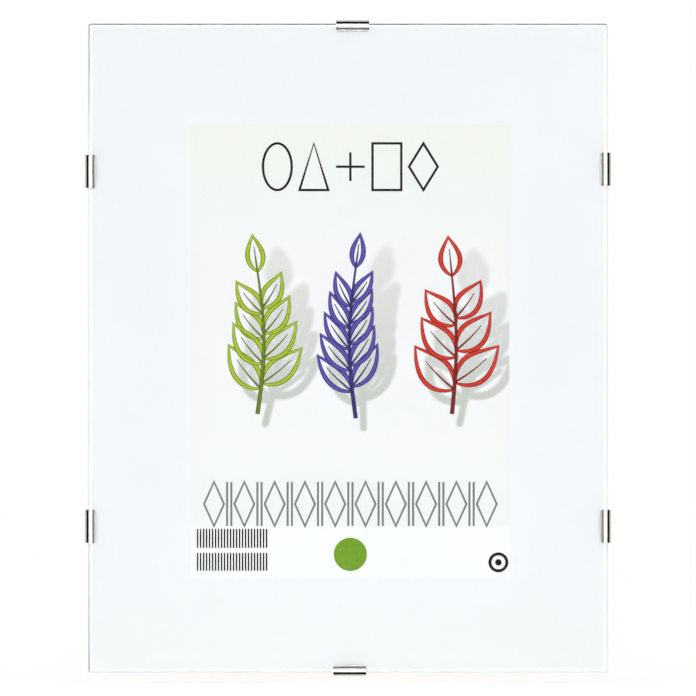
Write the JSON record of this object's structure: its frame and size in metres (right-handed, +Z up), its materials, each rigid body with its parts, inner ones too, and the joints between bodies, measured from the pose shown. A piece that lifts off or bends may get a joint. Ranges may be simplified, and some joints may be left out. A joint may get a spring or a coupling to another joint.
{
  "type": "clip frame",
  "caption": "Frameless clip frame: a glass pane, a printed slip and a white sheet held on a hardboard back by bent spring clips that swing off.",
  "frame": {"origin": "on the axis of the upright keyhole's round hole, in the plane of the board's back face, where the frame hangs on the wall", "axes": "+X to the viewer's right, +Y from the glass back to the wall, +Z up with the frame hung upright"},
  "size_m": [0.2434, 0.009, 0.3033],
  "materials": {
    "float_glass": "clear float glass with ground edges",
    "printed_paper": "coated paper, printed on the front",
    "white_paper": "plain white paper",
    "hardboard": "brown hardboard, smooth, with punched slots",
    "nickel_plated_spring_steel": "bright nickel plate on bent spring steel strip"
  },
  "bodies": {
    "frame": {"glass_pane": "float_glass", "label_slip": "printed_paper", "backing_sheet": "white_paper", "backing_board": "hardboard"},
    "top_clip": {"clip_top": "nickel_plated_spring_steel"},
    "bottom_clip": {"clip_bottom": "nickel_plated_spring_steel"},
    "left_upper_clip": {"clip_left_upper": "nickel_plated_spring_steel"},
    "left_lower_clip": {"clip_left_lower": "nickel_plated_spring_steel"},
    "right_upper_clip": {"clip_right_upper": "nickel_plated_spring_steel"},
    "right_lower_clip": {"clip_right_lower": "nickel_plated_spring_steel"}
  },
  "joints": [
    {"name": "clip_top_swing", "type": "hinge", "parent": "frame", "child": "top_clip", "pos_m": [0.00218, -0.00572, 0.04885], "axis": [1, 0, 0], "range_deg": [0, 90]},
    {"name": "clip_right_upper_swing", "type": "hinge", "parent": "frame", "child": "right_upper_clip", "pos_m": [0.11684, -0.00572, -0.01525], "axis": [0, 0, -1], "range_deg": [0, 90]},
    {"name": "clip_right_lower_swing", "type": "hinge", "parent": "frame", "child": "right_lower_clip", "pos_m": [0.11684, -0.00572, -0.18049], "axis": [0, 0, -1], "range_deg": [0, 90]},
    {"name": "clip_bottom_swing", "type": "hinge", "parent": "frame", "child": "bottom_clip", "pos_m": [0.00079, -0.00572, -0.24483], "axis": [-1, 0, 0], "range_deg": [0, 90]},
    {"name": "clip_left_lower_swing", "type": "hinge", "parent": "frame", "child": "left_lower_clip", "pos_m": [-0.11684, -0.00572, -0.18049], "axis": [0, 0, 1], "range_deg": [0, 90]},
    {"name": "clip_left_upper_swing", "type": "hinge", "parent": "frame", "child": "left_upper_clip", "pos_m": [-0.11684, -0.00572, -0.01628], "axis": [0, 0, 1], "range_deg": [0, 90]}
  ]
}
